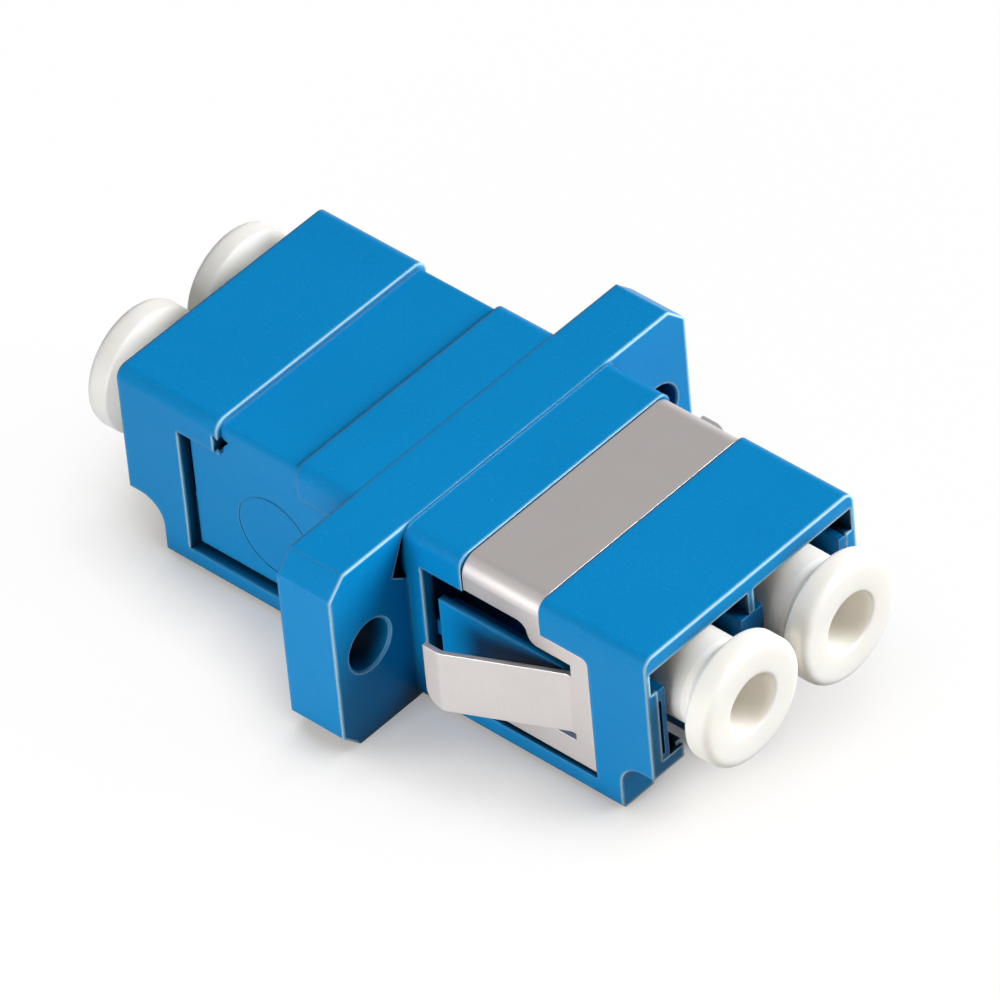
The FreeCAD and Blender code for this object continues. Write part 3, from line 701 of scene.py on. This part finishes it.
@dataclass
class DustCap:
    """Pull-off cap: hollow plug with four grip ribs, a necked waist and a rounded pull disc."""

    node: str
    turned: bool
    mouth: float = 15.0
    insert: float = 5.5
    neck: float = 2.08
    neck_end: float = 0.45
    lead_in: float = 0.14
    lead_drop: float = 0.2
    waist_step: float = 0.02
    groove: float = 1.9
    groove_width: float = 0.28
    shoulder: float = 0.25
    shoulder_rise: float = 0.22
    disc: float = 3.025
    disc_start: float = 1.4
    disc_back: float = 0.12
    reach: float = 2.7
    dish: float = 0.02
    bore: float = 1.425
    bore_depth: float = 3.4
    back_bore: float = 1.45
    web: float = 0.8
    rib_reach: float = 2.4
    rib_width: float = 0.6
    rib_inset: float = 0.6
    rib_length: float = 3.7
    ease: float = 0.1
    curve_steps: int = 8
    spacing: float = 0.22
    turns: int = 144

    def outline(self) -> np.ndarray:
        """Meridian of the cap as (x, radius), from the pole on the web's front to the one behind.

        Each row of the table is a corner's x, radius and rounding. The straight outline is rounded
        at each corner and then refined, so the ribs have rings to follow.

        Returns:
            Points of the meridian.
        """
        front, back = self.mouth + self.reach, self.mouth - self.insert
        web_front = front - self.bore_depth
        web_back = web_front - self.web
        waist, flare = self.mouth + self.neck_end, self.mouth + self.disc_start
        table = np.array(
            [
                (web_front, 0.0, 0.0),
                (web_front, self.bore, 0.12),
                (front - self.dish, self.bore, 0.16),
                (front, self.disc, 0.42),
                (flare + self.disc_back, self.disc, 0.2),
                (flare - self.shoulder, self.neck + self.shoulder_rise, 0.3),
                (waist + self.groove_width, self.groove, 0.16),
                (waist, self.neck - self.waist_step, 0.14),
                (back + self.lead_in, self.neck, 0.2),
                (back, self.neck - self.lead_drop, 0.05),
                (back, self.back_bore, 0.08),
                (web_back, self.back_bore, 0.12),
                (web_back, 0.0, 0.0),
            ]
        )
        rounded = softened(table[:, :2], table[:, 2], self.curve_steps)
        return refined(rounded, self.spacing)

    def ribbed(self, x: np.ndarray, radius: np.ndarray, angle: np.ndarray) -> np.ndarray:
        """Lift the four grip ribs off the plug.

        The radius grows to the rib's reach where the arc from the nearest quarter turn, which is
        the neck's radius times the angle, is within half a rib's width, and x is within the rib's
        length. Both ends ease off over a tenth of a millimetre, smoothed as 3s^2 - 2s^3.

        Args:
            x: Place of each ring, shape (n, 1).
            radius: Radius of each ring, shape (n, 1).
            angle: Angle of each column, shape (1, m).

        Returns:
            Radius of every point, shape (n, m).
        """
        quarter_turn = math.pi / 2.0
        quarter = np.abs((angle + quarter_turn / 2.0) % quarter_turn - quarter_turn / 2.0)
        start = self.mouth - self.insert + self.rib_inset
        rise, fall = (x - start) / self.ease, (start + self.rib_length - x) / self.ease
        along = np.clip(rise, 0, 1) * np.clip(fall, 0, 1)
        across = np.clip((self.rib_width / 2.0 - self.neck * quarter) / self.ease + 0.5, 0, 1)
        share = along * across
        outside = radius > self.neck - self.waist_step / 2.0
        return radius + share**2 * (3.0 - 2.0 * share) * outside * (self.rib_reach - self.neck)

    def build(self, nodes: Mapping[str, bpy.types.Object], body: str) -> bpy.types.Object:
        """Turn the meridian about the cap's axis.

        A point is (x, r cos a, r sin a) about the axis, with r the ribbed radius. A cap on the
        other end is turned half round about +Z.

        Args:
            nodes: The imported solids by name.
            body: Name of the body that the cap moves with.

        Returns:
            The finished cap.
        """
        low, high = (np.array(corner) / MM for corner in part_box(self.node))
        axis_y, axis_z = (low[1] + high[1]) / 2.0, (low[2] + high[2]) / 2.0
        line = self.outline()
        x = line[:, :1]
        angle = np.linspace(0.0, 2.0 * math.pi, self.turns, endpoint=False)[None, :]
        radius = self.ribbed(x, line[:, 1:], angle)
        side = -1.0 if self.turned else 1.0
        ring = np.stack(
            [
                side * np.broadcast_to(x, radius.shape),
                axis_y + side * radius * np.cos(angle),
                axis_z + radius * np.sin(angle),
            ],
            axis=2,
        )
        points = np.concatenate([ring[1:-1].reshape(-1, 3), ring[0, :1], ring[-1, :1]])
        rings = len(line) - 2
        count = np.arange(self.turns)
        after = (count + 1) % self.turns
        base = (np.arange(rings - 1) * self.turns)[:, None]
        over = base + self.turns
        quads = np.stack([base + count, base + after, over + after, over + count], axis=2)
        last = (rings - 1) * self.turns
        first_pole = np.full(self.turns, rings * self.turns)
        fans = [
            np.stack([first_pole, after, count], axis=1),
            np.stack([first_pole + 1, last + count, last + after], axis=1),
        ]
        cap = skin(self.node + "_turned", points, quads.reshape(-1, 4), fans)
        dress(cap, Look.CAP)
        dress(nodes[self.node], Look.CAP)
        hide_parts(self.node)
        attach(cap, body)
        return cap


# ---------------------------------------------------------------- studio


@dataclass(frozen=True)
class SoftLamp:
    """Square soft light aimed at the middle of the coupler."""

    name: str
    azimuth: float
    elevation: float
    level: float
    width: float
    distance: float = 0.6

    def build(self, aim: Vector) -> None:
        """Place the lamp; level 1 lights a white face square to it to full white.

        Args:
            aim: Point that the lamp faces.
        """
        lamp = bpy.data.lights.new(self.name, "AREA")
        lamp.shape, lamp.size = "SQUARE", self.width
        lamp.energy = self.level * math.pi**2 * self.distance**2
        made = bpy.data.objects.new(self.name, lamp)
        bpy.context.scene.collection.objects.link(made)
        away = heading(self.azimuth, self.elevation)
        made.location = aim + away * self.distance
        made.rotation_mode = "QUATERNION"
        made.rotation_quaternion = (-away).to_track_quat("-Z", "Y")
        made.visible_camera = False


@dataclass(frozen=True)
class Viewpoint:
    """Camera on a long lens, placed by the direction from the target to it."""

    azimuth: float = -44.524
    elevation: float = 42.396
    roll: float = -5.483
    distance: float = 500.336
    lens: float = 429.64
    sensor: float = 36.0
    nearest: float = 0.01
    furthest: float = 20.0
    target: Point = (3.8326, -3.0561, 9.962)

    def build(self) -> None:
        """Make the camera and set it as the scene's."""
        roll = math.radians(self.roll)
        away = heading(self.azimuth, self.elevation)
        level_right = (-away).cross(Vector((0.0, 0.0, 1.0))).normalized()
        level_up = level_right.cross(-away)
        right = math.cos(roll) * level_right + math.sin(roll) * level_up
        up = math.cos(roll) * level_up - math.sin(roll) * level_right
        turn = Matrix((right, up, away)).transposed().to_4x4()
        lens = bpy.data.cameras.new("studio_camera")
        lens.sensor_width, lens.lens = self.sensor, self.lens
        lens.clip_start, lens.clip_end = self.nearest, self.furthest
        made = bpy.data.objects.new("studio_camera", lens)
        bpy.context.scene.collection.objects.link(made)
        place = (Vector(self.target) + away * self.distance) * MM
        made.matrix_world = Matrix.Translation(place) @ turn
        bpy.context.scene.camera = made


@dataclass
class Studio:
    """Pale floor, plain surround, four soft lamps and the camera."""

    floor_half: float = 1500.0
    floor_tone: Tone = (0.98, 0.95, 0.91, 1.0)
    floor_fleck: Tone = (0.86, 0.86, 0.86, 1.0)
    floor_bounce: Tone = (0.12, 0.12, 0.12, 1.0)
    floor_rough: float = 0.5
    fleck: Pattern = Pattern(1.2)
    fleck_share: float = 0.03
    floor_near: float = 0.1
    floor_far: float = 0.97
    floor_reach: float = 7.0
    shade_from: float = 0.08
    shade_full: float = 0.55
    ambient: float = 0.05
    sky_low: float = 0.92
    sky_high: float = 0.3
    sky_from: float = 0.05
    sky_full: float = 0.6
    aim: Point = (0.0, 0.0, 5.0)
    lamps: tuple[SoftLamp, ...] = (
        SoftLamp("key_lamp", 46.0, 27.0, 1.55, 0.4),
        SoftLamp("side_lamp", -84.0, 10.0, 0.88, 0.05, 0.08),
        SoftLamp("top_lamp", 60.0, 60.0, 0.18, 0.5),
        SoftLamp("left_lamp", -122.0, 40.0, 0.19, 0.8),
    )

    def build(self) -> None:
        """Make the floor, the surround, the lamps and the camera."""
        self.lay_floor()
        self.surround()
        for lamp in self.lamps:
            lamp.build(Vector(self.aim) * MM)
        Viewpoint().build()
        bpy.context.scene.view_settings.view_transform = "Standard"

    def lay_floor(self) -> None:
        """One large face under the flange, white in view except where the coupler shades it."""
        reach = self.floor_half * MM
        corners = [(-reach, -reach, 0), (reach, -reach, 0), (reach, reach, 0), (-reach, reach, 0)]
        mesh = bpy.data.meshes.new("studio_floor")
        mesh.from_pydata(corners, [], [(0, 1, 2, 3)])
        floor = bpy.data.objects.new("studio_floor", mesh)
        bpy.context.scene.collection.objects.link(floor)
        paper = bpy.data.materials.new("studio_paper")
        paper.use_nodes = True
        weave = Weave(paper.node_tree)
        fibre = self.fleck.noise(weave)
        bounced = weave.node("ShaderNodeLightPath", output="Is Diffuse Ray")
        colour = weave.blend(fibre * self.fleck_share, self.floor_tone, self.floor_fleck)
        colour = weave.blend(bounced, colour, self.floor_bounce)
        settings = {"Color": colour, "Roughness": self.floor_rough}
        matte = weave.node("ShaderNodeBsdfDiffuse", {}, settings)
        white = weave.node("ShaderNodeEmission", {}, {"Color": WHITE, "Strength": 1.0})
        clear = 1.0 - weave.crevice(self.floor_reach).ramp(self.shade_from, self.shade_full)
        show = self.floor_near + clear * (self.floor_far - self.floor_near)
        mixed = {0: self.seen(weave) * show, 1: matte, 2: white}
        surface = weave.node("ShaderNodeMixShader", {}, mixed)
        weave.node("ShaderNodeOutputMaterial", {}, {"Surface": surface})
        mesh.materials.append(paper)

    @staticmethod
    def seen(weave: Weave) -> Wire:
        """One for rays from the camera, a mirror or a glass, nought for light that bounces."""
        camera = weave.node("ShaderNodeLightPath", output="Is Camera Ray")
        mirror = weave.node("ShaderNodeLightPath", output="Is Glossy Ray")
        glass = weave.node("ShaderNodeLightPath", output="Is Transmission Ray")
        return camera.peak(mirror).peak(glass)

    def surround(self) -> None:
        """White in view, plain and dim as a light, and darker overhead in reflections."""
        world = bpy.data.worlds.new("studio_surround")
        bpy.context.scene.world = world
        world.use_nodes = True
        weave = Weave(world.node_tree)
        height = weave.along(weave.node("ShaderNodeTexCoord", output="Generated"), "Z")
        mirror = weave.node("ShaderNodeLightPath", output="Is Glossy Ray")
        shown = self.seen(weave)
        fall = height.ramp(self.sky_from, self.sky_full) * (self.sky_low - self.sky_high)
        bright = shown * (1.0 - mirror) + mirror * (self.sky_low - fall)
        level = bright.peak((1.0 - shown) * self.ambient)
        back = weave.node("ShaderNodeBackground", {}, {"Color": WHITE, "Strength": level})
        weave.node("ShaderNodeOutputWorld", {}, {"Surface": back})


# ---------------------------------------------------------------- assembly

# Each cap's solid, the body that it moves with, and whether it sits on the rear end.
CAPS = {
    "front_left_cap": ("front_left_dust_cap", False),
    "front_right_cap": ("front_right_dust_cap", False),
    "rear_left_cap": ("rear_left_dust_cap", True),
    "rear_right_cap": ("rear_right_dust_cap", True),
}


def main() -> None:
    """Dress the coupler, turn its caps and set up the studio."""
    logging.basicConfig(level=logging.INFO, format="%(name)s: %(message)s")
    nodes = frame["nodes"]
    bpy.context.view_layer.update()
    for name in CouplerBody().build(nodes):
        LOG.info("dressed %s", name)
    for node, (body, turned) in CAPS.items():
        cap = DustCap(node, turned).build(nodes, body)
        LOG.info("turned %s with %d faces", cap.name, len(cap.data.polygons))
    Studio().build()
    LOG.info("studio ready")


if __name__ == "__main__":
    main()
